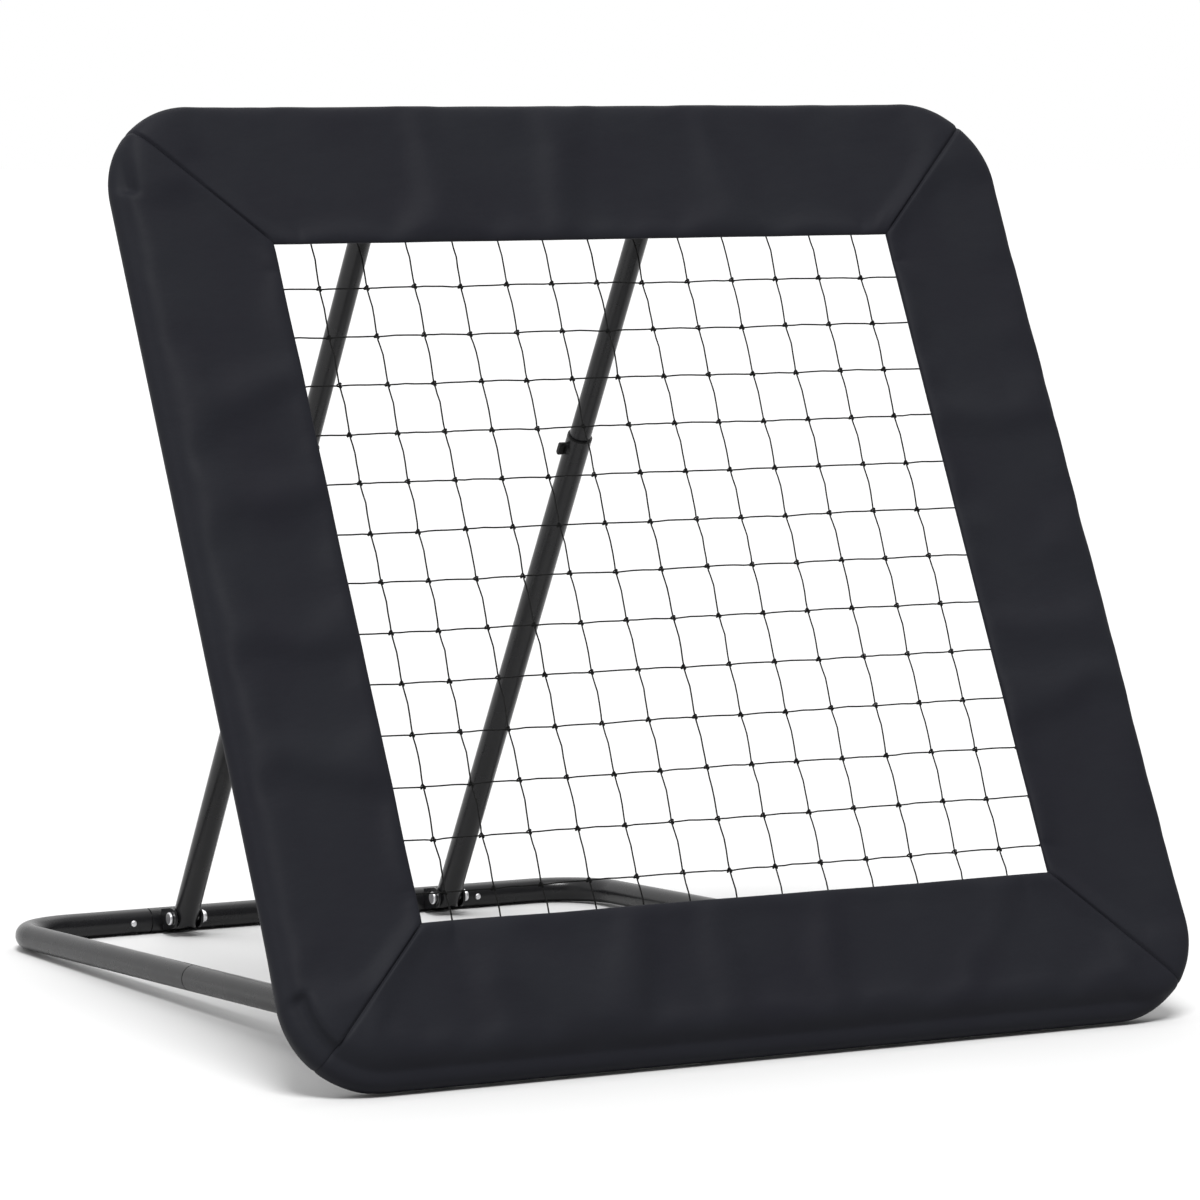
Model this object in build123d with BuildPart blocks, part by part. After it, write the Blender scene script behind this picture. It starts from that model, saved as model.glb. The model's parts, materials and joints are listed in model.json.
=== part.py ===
from build123d import *
import os
from math import cos, radians, sin

# Pitch back rebounder: a padded square net frame that leans back on a floor base,
# propped from behind by two telescopic legs.
# Millimetres, +X to the right, +Y to the back, +Z up. The net faces -Y.
# The origin is on the floor, midway between the front of the pad's roll and the rear bar's back.

os.makedirs("parts", exist_ok=True)

# ---------------------------------------------------------------- driving dimensions
outer = 960                # width and height of the padded frame
border = 147               # width of each pad panel, from the outline to the net opening
corner_radius = 90         # rounded outer corners of the pad
lean = 26.5                # degrees the net frame leans back from upright
base_depth = 1007          # front line on the floor to the rear bar's axis
base_slope = 2.0           # degrees the base arms rise towards the front
arm_x = 341                # base arms, either side of the middle
leg_x = 154.5              # legs, either side of the middle

tube_r = 13.0              # frame, base and lower leg tubes
tube_wall = 1.2
inner_leg_r = 11.1         # upper leg tubes, which slide in the lower ones
base_bend = 70             # centreline radius of the base's rear corners

seam = 1.4                 # open groove where one tube's end meets the next one's shoulder
shoulder = 4               # swaged shoulder at the root of a neck
neck_length = 45
neck_r = tube_r - tube_wall - 0.05
neck_bore_r = neck_r - tube_wall

rear_seam_x = 182          # where the rear bar meets the corner tubes
arm_seam = 461             # where a corner tube meets its front arm, ahead of the rear bar
button_inset = 21          # snap button's distance from its seam
button_r = 3.2
button_hole_r = button_r + 0.1
button_proud = 2.0         # how far a button stands out of the tube
button_flange_r = 4.6
button_seat = 7.6          # button's inner face, from the tube's axis
spring_back = 9.2          # how far behind the tube's axis the spring strip lies

pad_depth = 51             # pad roll, front to back
roll_radius = 22           # rounding of the roll's outer edges
skin = 3                   # cover over the foam
cover_wall = 5             # cover around the outside of the tube
back_lip = 52              # how far the cover folds in behind the tube
lip_wall = 4.5
foam_back = 12             # depth of the foam's back face
panel_gap = 0.8            # between neighbouring panels at a mitre
slot_room = 24             # extra width of the cut-outs where brackets pass the cover

mesh_pitch = 49.4          # net mesh, knot to knot
mesh_count = 15            # twines each way
mesh_shift = 12            # the net sits this far to the right of the middle
twine = 2.0
net_half = 396             # half the width of the net inside its border rope
rope = 5.0
loop_cord = 2.4            # elastic loops between the rope and the frame tube
loop_slack = 0.4
loop_width = 5
loop_pitch = 91

hanger_reach = 42.5        # top tube's axis to the leg's upper pivot
foot_reach = 36.5          # rear bar's axis to the leg's foot pivot
foot_rise = 6              # foot pivot above the rear bar's axis
hinge_reach = 33           # bottom tube's axis to the base arm's pivot
plate = 2.5                # bracket plate
ear_r = 11                 # rounding of the bracket's ears around the pivot
pivot_side_gap = 0.6       # between a tube and the bracket's ears
pivot_bolt_r = 4.0
bolt_head_r = 6.6
bolt_head_height = 3.4
nut_height = 4.6
nut_dome_height = 7
nut_dome_r = bolt_head_r - 0.9
pivot_fit = 0.05           # running clearance on a pivot bolt
open_pivot_fit = 3.8       # clearance in the upper leg's eye, where the linkage is open
foot_end = 10.5            # lower leg tube's end beyond its pivot

collar_at = 590            # top of the lower leg tube, from the foot pivot
leg_overlap = 200          # length of upper tube inside the lower one
bush_length = 26
lock_at = collar_at - 13   # lock screw, from the foot pivot
lock_screw_r = 3.0
lock_thread_r = lock_screw_r + 0.05
lock_hole_r = lock_screw_r + 0.3
boss_r = 6.4
boss_height = 1.6          # above the tube's wall
knob_gap = 0.3             # between the boss and the lock screw's washer
washer_height = 1.0
knob_length = 14           # wings of the lock screw, end to end
knob_width = 6.5
knob_height = 5.5

# ---------------------------------------------------------------- derived places
lean_sin, lean_cos = sin(radians(lean)), cos(radians(lean))
slope_sin, slope_cos = sin(radians(base_slope)), cos(radians(base_slope))
opening = outer - 2 * border
tube_half = outer / 2 - roll_radius            # frame tube's axis, from the middle of the net
tube_depth = pad_depth - roll_radius           # frame tube's axis, behind the pad's front
tube_bend = corner_radius - roll_radius

# The pad's lower roll touches the floor along its back edge.
pad_bottom = (roll_radius + (pad_depth - roll_radius) * lean_sin) / lean_cos - roll_radius
pad_middle = pad_bottom + outer / 2
# The roll's front stands this far behind the line where the pad's front plane meets the floor.
front_inset = (pad_bottom + roll_radius) * lean_sin + roll_radius * lean_cos - roll_radius
front_y = -(front_inset + base_depth + tube_r) / 2
rear_y = front_y + base_depth

# Front plane of the pad: local x across, y up the slope, z out of the front.
face = Plane(
    origin=(0, front_y + pad_middle * lean_sin, pad_middle * lean_cos),
    x_dir=(1, 0, 0),
    z_dir=(0, -lean_cos, lean_sin),
)
tube_plane = face.offset(-tube_depth)
# Base tubes: local x across, y to the back, sloping down to the rear bar.
base_plane = Plane(
    origin=(0, rear_y, tube_r), x_dir=(1, 0, 0), z_dir=(0, slope_sin, slope_cos)
)

top_axis = tube_plane.from_local_coords(Vector(0, tube_half, 0))
bottom_axis = tube_plane.from_local_coords(Vector(0, -tube_half, 0))
rear_axis = Vector(0, rear_y, tube_r)

hanger_pivot = top_axis + Vector(0, hanger_reach, 0)
foot_pivot = rear_axis + Vector(0, -(foot_reach**2 - foot_rise**2) ** 0.5, foot_rise)


def arm_pivot_on_slope():
    """The point of the base arm's axis that is hinge_reach from the bottom tube's axis."""
    foot = bottom_axis - rear_axis
    along = -foot.Y * slope_cos + foot.Z * slope_sin
    across = foot.Y * slope_sin + foot.Z * slope_cos
    reach = along - (hinge_reach**2 - across**2) ** 0.5
    return rear_axis + Vector(0, -reach * slope_cos, reach * slope_sin), reach


hinge_pivot, arm_reach = arm_pivot_on_slope()
leg_length = (hanger_pivot - foot_pivot).length
leg_direction = (hanger_pivot - foot_pivot).normalized()

sides = {"left": -1, "right": 1}
MIN, MID, MAX = Align.MIN, Align.CENTER, Align.MAX


# ---------------------------------------------------------------- shared features
def save(builder, label):
    """Label a finished piece and write its STEP file."""
    builder.part.label = label
    export_step(builder.part, f"parts/{label}.step")


def add_neck(end):
    """Swaged neck on a tube's end, where end is a plane that looks out of the tube."""
    with Locations(end):
        Cylinder(tube_r, shoulder, align=(MID, MID, MAX))
        Cylinder(neck_r, neck_length, align=(MID, MID, MIN))
    with Locations(end.offset(-shoulder)):
        Cylinder(neck_bore_r, shoulder + neck_length, align=(MID, MID, MIN), mode=Mode.SUBTRACT)


def punch(centre, direction, radius):
    """Round hole through one wall of a tube, from the tube's axis outwards."""
    with Locations(Plane(origin=centre, z_dir=direction)):
        Cylinder(radius, tube_r + 2, align=(MID, MID, MIN), mode=Mode.SUBTRACT)


def drill_across(centre, radius):
    """Round hole right through a tube along X."""
    with Locations(Plane(origin=centre, z_dir=(1, 0, 0))):
        Cylinder(radius, 4 * tube_r, mode=Mode.SUBTRACT)


def round_end(pivot, direction, radius, reach):
    """Round off a tube's end beyond its pivot, seen along X. Direction points up the tube."""
    side = Plane(
        origin=pivot + direction * (radius - reach), x_dir=direction, z_dir=(1, 0, 0)
    )
    with BuildPart(mode=Mode.PRIVATE) as kept:
        with BuildSketch(side):
            Circle(radius + 0.01)
            Rectangle(2 * leg_length, 2 * radius + 0.02, align=(MIN, MID))
        extrude(amount=2 * tube_r, both=True)
    add(kept.part, mode=Mode.INTERSECT)


def tube_piece(plane, points, bend=tube_bend, necks=(), holes=()):
    """Hollow tube along straight runs, with swaged necks and holes for snap buttons."""
    with BuildPart() as tube:
        with BuildLine(plane) as path:
            if len(points) > 2:
                FilletPolyline(*points, radius=bend)
            else:
                Line(*points)
        with BuildSketch(Plane(origin=path.line @ 0, z_dir=path.line % 0)):
            Circle(tube_r)
            Circle(tube_r - tube_wall, mode=Mode.SUBTRACT)
        sweep()
        for end in necks:
            add_neck(end)
        for centre, direction in holes:
            punch(centre, direction, button_hole_r)
    return tube


def bracket(origin, pivot, width):
    """U-shaped bracket welded to a tube along X at origin, with ears either side of a pivot."""
    reach = (pivot - origin).length
    side = Plane(origin=origin, x_dir=pivot - origin, z_dir=(1, 0, 0))
    web_at = tube_r + 0.05
    with BuildPart() as piece:
        with BuildSketch(side.offset(-width / 2 - plate), side.offset(width / 2)):
            with Locations((web_at, 0)):
                Rectangle(reach - web_at, 2 * ear_r, align=(MIN, MID))
            with Locations((reach, 0)):
                Circle(ear_r)
        extrude(amount=plate)
        with BuildSketch(side.offset(-width / 2)):
            with Locations((web_at, 0)):
                Rectangle(plate, 2 * ear_r, align=(MIN, MID))
        extrude(amount=width)
        drill_across(pivot, pivot_bolt_r + pivot_fit)
    return piece


def pivot_hardware(places, width, bolt_label, nut_label):
    """Domed bolts along X and their cap nuts. A place is a pivot and its nut's side."""
    grip = width / 2 + plate + 0.05
    nut_sides = [Plane(origin=pivot, z_dir=(way, 0, 0)).offset(grip) for pivot, way in places]
    head_sides = [Plane(origin=pivot, z_dir=(-way, 0, 0)).offset(grip) for pivot, way in places]
    with BuildPart() as bolts:
        with BuildSketch(*head_sides):
            Circle(bolt_head_r)
        extrude(amount=bolt_head_height)
        fillet(bolts.edges().filter_by(GeomType.CIRCLE), 1.2)
        with BuildSketch(*head_sides):
            Circle(pivot_bolt_r)
        extrude(amount=-2 * grip - nut_height)
    save(bolts, bolt_label)
    with BuildPart() as nuts:
        with BuildSketch(*nut_sides):
            Circle(nut_dome_r)
        extrude(amount=nut_dome_height)
        fillet(nuts.edges().filter_by(GeomType.CIRCLE), 1.2)
        with BuildSketch(*nut_sides):
            RegularPolygon(bolt_head_r + 0.3, 6)
        extrude(amount=nut_height)
        with BuildSketch(*nut_sides):
            Circle(pivot_bolt_r + 0.03)
        extrude(amount=nut_height + 0.2, mode=Mode.SUBTRACT)
    save(nuts, nut_label)


def snap_button(centre, direction, label):
    """Sprung button on a tube's axis at centre, standing out of the wall along direction."""
    seat = Plane(origin=centre, z_dir=direction)
    with BuildPart() as button:
        with BuildSketch(seat.offset(button_seat)):
            Circle(button_flange_r)
        extrude(amount=1)
        with BuildSketch(seat.offset(button_seat)):
            Circle(button_r)
        extrude(amount=tube_r + button_proud - button_seat)
        fillet(button.edges().filter_by(GeomType.CIRCLE).sort_by(seat_axis(seat))[-1], 1.4)
    save(button, label)


def seat_axis(plane):
    """Axis that looks out of a plane, for sorting along it."""
    return Axis(plane.origin, plane.z_dir)


def add_snap_spring(centre, along, direction):
    """Bent spring strip inside a tube's neck, behind its button, drawn pressed back."""
    across = along.cross(direction)
    strip = Plane(origin=centre - direction * spring_back, x_dir=along, z_dir=across)
    with BuildPart(mode=Mode.PRIVATE) as spring:
        with BuildSketch(strip.offset(-3)):
            with BuildLine():
                Polyline((-22, 0), (14, 0), (16, 1.8), (14, 3.6), (-4, 12))
                offset(amount=0.4, side=Side.BOTH)
            make_face()
        extrude(amount=6)
    add(spring.part)


# ---------------------------------------------------------------- floor base
forward = Vector(0, -1, 0)


def rear_button_place(way):
    """Point of the rear bar's axis where a snap button stands, and the way it faces."""
    return rear_axis + Vector(way * (rear_seam_x + button_inset), 0, 0), forward


def arm_button_place(way):
    """Point of a base arm's axis where a snap button stands, and the way it faces."""
    centre = base_plane.from_local_coords(Vector(way * arm_x, -arm_seam + button_inset, 0))
    return centre, Vector(-way, 0, 0)


def rear_bar():
    """Straight rear bar with a neck at each end, which carries the two legs."""
    end = rear_seam_x - seam
    return tube_piece(
        base_plane,
        [(-end, 0), (end, 0)],
        necks=[Plane(origin=rear_axis + Vector(way * end, 0, 0), z_dir=(way, 0, 0)) for way in (-1, 1)],
        holes=[rear_button_place(way) for way in (-1, 1)],
    )


def corner_tube(way):
    """Bent rear corner of the base, from the rear bar to a front arm."""
    return tube_piece(
        base_plane,
        [(way * rear_seam_x, 0), (way * arm_x, 0), (way * arm_x, -arm_seam)],
        bend=base_bend,
        holes=[rear_button_place(way), arm_button_place(way)],
    )


def base_arm(way):
    """Front arm of the base, from its neck to the frame's hinge."""
    pivot = hinge_pivot + Vector(way * arm_x, 0, 0)
    start = -arm_seam - seam
    back = Vector(0, slope_cos, -slope_sin)
    neck = Plane(
        origin=base_plane.from_local_coords(Vector(way * arm_x, start, 0)), z_dir=back
    )
    with BuildPart() as arm:
        with BuildSketch(neck):
            Circle(tube_r)
            Circle(tube_r - tube_wall, mode=Mode.SUBTRACT)
        extrude(amount=-(arm_reach - arm_seam + tube_r))
        add_neck(neck)
        punch(*arm_button_place(way), button_hole_r)
        round_end(pivot, back, tube_r, tube_r)
        drill_across(pivot, pivot_bolt_r + pivot_fit)
    return arm


save(rear_bar(), "rear_bar")
for side, way in sides.items():
    save(corner_tube(way), f"{side}_corner_tube")
    save(base_arm(way), f"{side}_base_arm")
    snap_button(*rear_button_place(way), f"{side}_rear_snap_button")
    snap_button(*arm_button_place(way), f"{side}_arm_snap_button")
    across = Vector(way * leg_x, 0, 0)
    foot = bracket(rear_axis + across, foot_pivot + across, 2 * (tube_r + pivot_side_gap))
    save(foot, f"{side}_foot_bracket")

pivot_hardware(
    [(foot_pivot + Vector(way * leg_x, 0, 0), 1) for way in (-1, 1)],
    2 * (tube_r + pivot_side_gap),
    "leg_foot_bolts",
    "leg_foot_nuts",
)

with BuildPart() as base_snap_springs:
    for way in (-1, 1):
        centre, direction = rear_button_place(way)
        add_snap_spring(centre, Vector(way, 0, 0), direction)
        centre, direction = arm_button_place(way)
        add_snap_spring(centre, Vector(0, -slope_cos, slope_sin), direction)
save(base_snap_springs, "base_snap_springs")


# ---------------------------------------------------------------- net frame
corners = ["top_left", "bottom_left", "bottom_right", "top_right"]
edges = ["top", "left", "bottom", "right"]
inwards = face.z_dir * -1


def edge_plane(plane, turn):
    """The plane turned by quarter turns, so that its local +y looks at the given edge."""
    across, up = [(1, 0), (0, 1), (-1, 0), (0, -1)][turn % 4]
    return Plane(
        origin=plane.origin, x_dir=plane.x_dir * across + plane.y_dir * up, z_dir=plane.z_dir
    )


def frame_button_place(turn):
    """Point of the frame tube's axis where a snap button stands, and the way it faces."""
    centre = edge_plane(tube_plane, turn).from_local_coords(Vector(-button_inset, tube_half, 0))
    return centre, inwards


def frame_tube(turn):
    """A quarter of the square frame: a bent tube from the middle of one edge to the next."""
    plane = edge_plane(tube_plane, turn)
    neck = Plane(
        origin=plane.from_local_coords(Vector(-tube_half, seam, 0)), z_dir=-plane.y_dir
    )
    return tube_piece(
        plane,
        [(0, tube_half), (-tube_half, tube_half), (-tube_half, seam)],
        necks=[neck],
        holes=[frame_button_place(turn), frame_button_place(turn + 1)],
    )


for turn in range(4):
    save(frame_tube(turn), f"frame_tube_{corners[turn]}")
    snap_button(*frame_button_place(turn), f"{edges[turn]}_frame_snap_button")

with BuildPart() as frame_snap_springs:
    for turn in range(4):
        centre, direction = frame_button_place(turn)
        add_snap_spring(centre, -edge_plane(tube_plane, turn).x_dir, direction)
save(frame_snap_springs, "frame_snap_springs")

leg_gap = 2 * (inner_leg_r + pivot_side_gap)
arm_gap = 2 * (tube_r + pivot_side_gap)
for side, way in sides.items():
    across = Vector(way * leg_x, 0, 0)
    save(bracket(top_axis + across, hanger_pivot + across, leg_gap), f"{side}_hanger_bracket")
    across = Vector(way * arm_x, 0, 0)
    save(bracket(bottom_axis + across, hinge_pivot + across, arm_gap), f"{side}_hinge_bracket")

pivot_hardware(
    [(hanger_pivot + Vector(way * leg_x, 0, 0), way) for way in (-1, 1)],
    leg_gap,
    "hanger_bolts",
    "hanger_nuts",
)
pivot_hardware(
    [(hinge_pivot + Vector(way * arm_x, 0, 0), -way) for way in (-1, 1)],
    arm_gap,
    "hinge_bolts",
    "hinge_nuts",
)


# ---------------------------------------------------------------- net
with BuildPart() as net:
    with BuildSketch(tube_plane.offset(-twine / 2)):
        with Locations((mesh_shift, 0)):
            with GridLocations(mesh_pitch, 0, mesh_count, 1):
                Rectangle(twine, 2 * net_half)
        with GridLocations(0, mesh_pitch, 1, mesh_count):
            Rectangle(2 * net_half, twine)
    extrude(amount=twine)
save(net, "net")

with BuildPart() as border_rope:
    with BuildSketch(tube_plane.offset(-rope / 2)):
        RectangleRounded(2 * (net_half + rope), 2 * (net_half + rope), 12)
        Rectangle(2 * net_half, 2 * net_half, mode=Mode.SUBTRACT)
    extrude(amount=rope)
save(border_rope, "border_rope")


def loop_outline(reach, extra):
    """Closed outline around the tube at the origin and the rope at reach below it."""
    inside = loop_slack + extra
    ends = Sketch() + Circle(tube_r + inside) + Pos(0, -reach) * Circle(rope * 0.75 + inside)
    return make_hull(ends.edges())


def elastic_loop():
    """One elastic loop, flat across the tube, with the tube's axis along local x."""
    reach = tube_half - net_half - rope / 2
    flat = Plane(origin=(-loop_width / 2, 0, 0), x_dir=(0, 1, 0), z_dir=(1, 0, 0))
    band = loop_outline(reach, loop_cord) - loop_outline(reach, 0)
    return extrude(flat * (Rot(0, 0, -90) * band), amount=loop_width)


one_loop = elastic_loop()
with BuildPart() as elastic_loops:
    for turn in range(4):
        edge = edge_plane(tube_plane, turn)
        for step in (-4, -3, -2, -1, 1, 2, 3, 4):
            spot = edge.from_local_coords(Vector(step * loop_pitch, tube_half, 0))
            with Locations(Plane(origin=spot, x_dir=edge.x_dir, z_dir=edge.z_dir)):
                add(one_loop)
save(elastic_loops, "elastic_loops")


# ---------------------------------------------------------------- padded cover
def wedge(turn, gap):
    """Quarter of the square towards one edge, bounded by the mitres and kept off them."""
    reach = outer
    with BuildPart(mode=Mode.PRIVATE) as quarter:
        with BuildSketch(edge_plane(face, turn).offset(5)):
            with BuildLine():
                Polyline((0, gap), (reach, reach + gap), (-reach, reach + gap), close=True)
            make_face()
        extrude(amount=-pad_depth - 10)
    return quarter.part


with BuildPart() as cover_cavity:
    with BuildSketch(face.offset(-skin)):
        RectangleRounded(outer - 2 * cover_wall, outer - 2 * cover_wall, corner_radius - cover_wall)
    extrude(amount=-(pad_depth - skin - lip_wall))
    ends = cover_cavity.faces().filter_by(Plane(face.origin, z_dir=face.z_dir))
    fillet(ends.edges(), roll_radius - cover_wall)

with BuildPart() as cover_ring:
    with BuildSketch(face):
        RectangleRounded(outer, outer, corner_radius)
    extrude(amount=-pad_depth)
    ends = cover_ring.faces().filter_by(Plane(face.origin, z_dir=face.z_dir))
    fillet(ends.edges(), roll_radius)
    # Hollow inside, with a hem wall around the net opening as deep as the foam.
    with BuildSketch(face):
        Rectangle(opening + 2 * skin, opening + 2 * skin)
    hem_core = extrude(amount=-pad_depth, mode=Mode.PRIVATE)
    add(cover_cavity.part - hem_core, mode=Mode.SUBTRACT)
    with BuildSketch(face):
        Rectangle(opening, opening)
    extrude(amount=-pad_depth, mode=Mode.SUBTRACT)
    # Open at the back, inside the lip.
    lip_half = outer / 2 - back_lip
    with BuildSketch(face.offset(-foam_back)):
        Rectangle(2 * lip_half, 2 * lip_half)
    extrude(amount=-pad_depth, mode=Mode.SUBTRACT)
    # Cut-outs where the leg hangers and the hinge brackets pass.
    hanger_slot = leg_gap + 2 * plate + slot_room
    with Locations(*[top_axis + Vector(way * leg_x, 40, 0) for way in (-1, 1)]):
        Box(hanger_slot, 80, 30, mode=Mode.SUBTRACT)
    hinge_slot = arm_gap + 2 * plate + slot_room
    with BuildSketch(face.offset(-tube_depth - 10)):
        with Locations(*[(way * arm_x, -tube_half + 40) for way in (-1, 1)]):
            Rectangle(hinge_slot, 92)
    extrude(amount=-pad_depth, mode=Mode.SUBTRACT)

with BuildPart() as foam_ring:
    with BuildSketch(face.offset(-skin - 0.3)):
        foam_outer = outer - 2 * (roll_radius + 4)
        RectangleRounded(foam_outer, foam_outer, corner_radius - roll_radius)
        Rectangle(opening + 2 * skin + 0.6, opening + 2 * skin + 0.6, mode=Mode.SUBTRACT)
    extrude(amount=-(foam_back - skin - 0.3))

for turn, edge in enumerate(edges):
    with BuildPart() as pad_cover:
        add(cover_ring.part)
        add(wedge(turn, panel_gap), mode=Mode.INTERSECT)
    save(pad_cover, f"pad_cover_{edge}")
    with BuildPart() as pad_foam:
        add(foam_ring.part)
        add(wedge(turn, 3 * panel_gap), mode=Mode.INTERSECT)
    save(pad_foam, f"pad_foam_{edge}")


# ---------------------------------------------------------------- telescopic legs
lock_side = Vector(-1, 0, 0)                   # both lock screws face left


def leg_plane(way):
    """Plane at a leg's foot pivot, looking up the leg."""
    return Plane(
        origin=foot_pivot + Vector(way * leg_x, 0, 0), x_dir=(1, 0, 0), z_dir=leg_direction
    )


def lower_leg(way):
    """Lower leg tube, from its foot pivot to the collar, with the lock screw's hole."""
    foot = leg_plane(way)
    lock = foot.from_local_coords(Vector(0, 0, lock_at))
    with BuildPart() as tube:
        with BuildSketch(foot.offset(-foot_end)):
            Circle(tube_r)
            Circle(tube_r - tube_wall, mode=Mode.SUBTRACT)
        extrude(amount=foot_end + collar_at)
        round_end(foot.origin, leg_direction, tube_r, foot_end)
        drill_across(foot.origin, pivot_bolt_r + pivot_fit)
        punch(lock, lock_side, lock_hole_r)
    return tube


def upper_leg(way):
    """Upper leg tube, which slides in the lower one and hangs on the frame."""
    foot = leg_plane(way)
    eye = hanger_pivot + Vector(way * leg_x, 0, 0)
    start = collar_at - leg_overlap
    with BuildPart() as tube:
        with BuildSketch(foot.offset(start)):
            Circle(inner_leg_r)
            Circle(inner_leg_r - tube_wall, mode=Mode.SUBTRACT)
        extrude(amount=leg_length + inner_leg_r - start)
        round_end(eye, leg_direction * -1, inner_leg_r, inner_leg_r)
        drill_across(eye, pivot_bolt_r + open_pivot_fit)
    return tube


def leg_bush(way):
    """Plastic bush in the top of a lower leg tube, with a lip over the tube's end."""
    foot = leg_plane(way)
    lock = foot.from_local_coords(Vector(0, 0, lock_at))
    with BuildPart() as bush:
        with BuildSketch(foot.offset(collar_at - bush_length)):
            Circle(tube_r - tube_wall - 0.05)
        extrude(amount=bush_length + 0.05)
        with BuildSketch(foot.offset(collar_at + 0.05)):
            Circle(tube_r - 0.1)
        extrude(amount=1.8)
        with BuildSketch(foot.offset(collar_at - bush_length)):
            Circle(inner_leg_r + 0.06)
        extrude(amount=bush_length + 2, mode=Mode.SUBTRACT)
        punch(lock, lock_side, lock_hole_r)
    return bush


def lock_boss(way):
    """Threaded boss welded to the lower leg tube for the lock screw."""
    foot = leg_plane(way)
    seat = Plane(origin=foot.from_local_coords(Vector(0, 0, lock_at)), z_dir=lock_side)
    with BuildPart() as boss:
        with BuildSketch(seat):
            Circle(boss_r)
        extrude(amount=tube_r + boss_height)
        with BuildSketch(foot.offset(lock_at - 10)):
            Circle(tube_r + 0.05)
        extrude(amount=20, mode=Mode.SUBTRACT)
        with BuildSketch(seat):
            Circle(lock_thread_r)
        extrude(amount=tube_r + boss_height, mode=Mode.SUBTRACT)
    return boss


def lock_screw(way):
    """Wing screw that clamps the upper leg tube."""
    foot = leg_plane(way)
    washer_seat = tube_r + boss_height + knob_gap
    knob_seat = washer_seat + washer_height
    seat = Plane(
        origin=foot.from_local_coords(Vector(0, 0, lock_at)),
        x_dir=leg_direction,
        z_dir=lock_side,
    )
    with BuildPart() as screw:
        with BuildSketch(seat.offset(inner_leg_r + 0.1)):
            Circle(lock_screw_r)
        extrude(amount=knob_seat - inner_leg_r)
        with BuildSketch(seat.offset(washer_seat)):
            Circle(boss_r - 0.4)
        extrude(amount=washer_height)
        with BuildSketch(seat.offset(knob_seat)):
            SlotOverall(knob_length, knob_width)
        extrude(amount=knob_height)
        top = screw.faces().sort_by(seat_axis(seat))[-1]
        fillet(top.edges(), 1.5)
    return screw


for side, way in sides.items():
    save(lower_leg(way), f"{side}_leg_lower_tube")
    save(upper_leg(way), f"{side}_leg_upper_tube")
    save(leg_bush(way), f"{side}_leg_bush")
    save(lock_boss(way), f"{side}_lock_boss")
    save(lock_screw(way), f"{side}_lock_screw")
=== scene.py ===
import json
import math
import random

import bpy
import numpy as np
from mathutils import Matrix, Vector


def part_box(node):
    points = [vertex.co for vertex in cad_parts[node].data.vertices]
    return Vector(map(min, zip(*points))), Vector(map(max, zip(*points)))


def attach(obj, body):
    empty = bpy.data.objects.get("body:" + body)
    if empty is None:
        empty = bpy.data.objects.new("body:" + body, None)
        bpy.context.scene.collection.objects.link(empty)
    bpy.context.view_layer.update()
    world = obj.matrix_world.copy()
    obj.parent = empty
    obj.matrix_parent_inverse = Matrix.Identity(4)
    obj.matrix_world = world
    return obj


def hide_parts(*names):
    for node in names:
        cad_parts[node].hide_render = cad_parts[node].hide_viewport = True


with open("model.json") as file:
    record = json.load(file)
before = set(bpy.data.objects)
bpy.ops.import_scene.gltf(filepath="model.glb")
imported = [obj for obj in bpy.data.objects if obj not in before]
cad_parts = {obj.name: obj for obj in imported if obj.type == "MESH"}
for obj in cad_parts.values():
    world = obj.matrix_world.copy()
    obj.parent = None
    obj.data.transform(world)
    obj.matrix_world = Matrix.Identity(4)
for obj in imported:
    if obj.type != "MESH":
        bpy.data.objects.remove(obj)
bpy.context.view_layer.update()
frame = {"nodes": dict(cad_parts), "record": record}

# Pitch back rebounder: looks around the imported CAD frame. Metres, +X right, +Y back, +Z up.

# ---------------------------------------------------------------- sizes shared with the CAD part
OUTER = 0.960              # width and height of the padded cover
BORDER = 0.147             # width of a panel, outline to opening
CORNER_RADIUS = 0.090
LEAN = math.radians(26.5)
TUBE_R = 0.013
TUBE_DEPTH = 0.029         # frame tube's axis, behind the front of the pad
TUBE_INSET = 0.022         # the same axis, inside the cover's outline
TUBE_HALF = OUTER / 2 - TUBE_INSET
MESH_PITCH = 0.0494
MESH_COUNT = 15            # strands of the net each way
MESH_SHIFT = 0.012         # the mesh sits this much to one side of the net's middle
NET_HALF = 0.396           # net's middle to its border rope
ROPE = 0.005               # border rope's diameter
LOOP_PITCH = 0.091         # spacing of the elastic loops, which leave out each edge's middle
LOOP_STEPS = (-4, -3, -2, -1, 1, 2, 3, 4)

FRAME_BODY = "net_frame"
EDGES = ["top", "left", "bottom", "right"]

# ---------------------------------------------------------------- frame's own directions
ACROSS = Vector((1, 0, 0))
UP_SLOPE = Vector((0, math.sin(LEAN), math.cos(LEAN)))
OUT = Vector((0, -math.cos(LEAN), math.sin(LEAN)))
rope_low, rope_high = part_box("border_rope")
MIDDLE = (rope_low + rope_high) / 2 + OUT * TUBE_DEPTH     # middle of the pad's front plane


def on_frame(x, v, depth):
    """Point of the net frame: x across and v up the slope from the middle, depth behind the front."""
    return MIDDLE + ACROSS * x + UP_SLOPE * v - OUT * depth


def on_edge(turn, along, outward, depth):
    """The same, seen from one edge: along it from its middle, and outward from the net's middle."""
    across, up = [(1, 0), (0, 1), (-1, 0), (0, -1)][turn % 4]
    return on_frame(along * across - outward * up, along * up + outward * across, depth)


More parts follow.
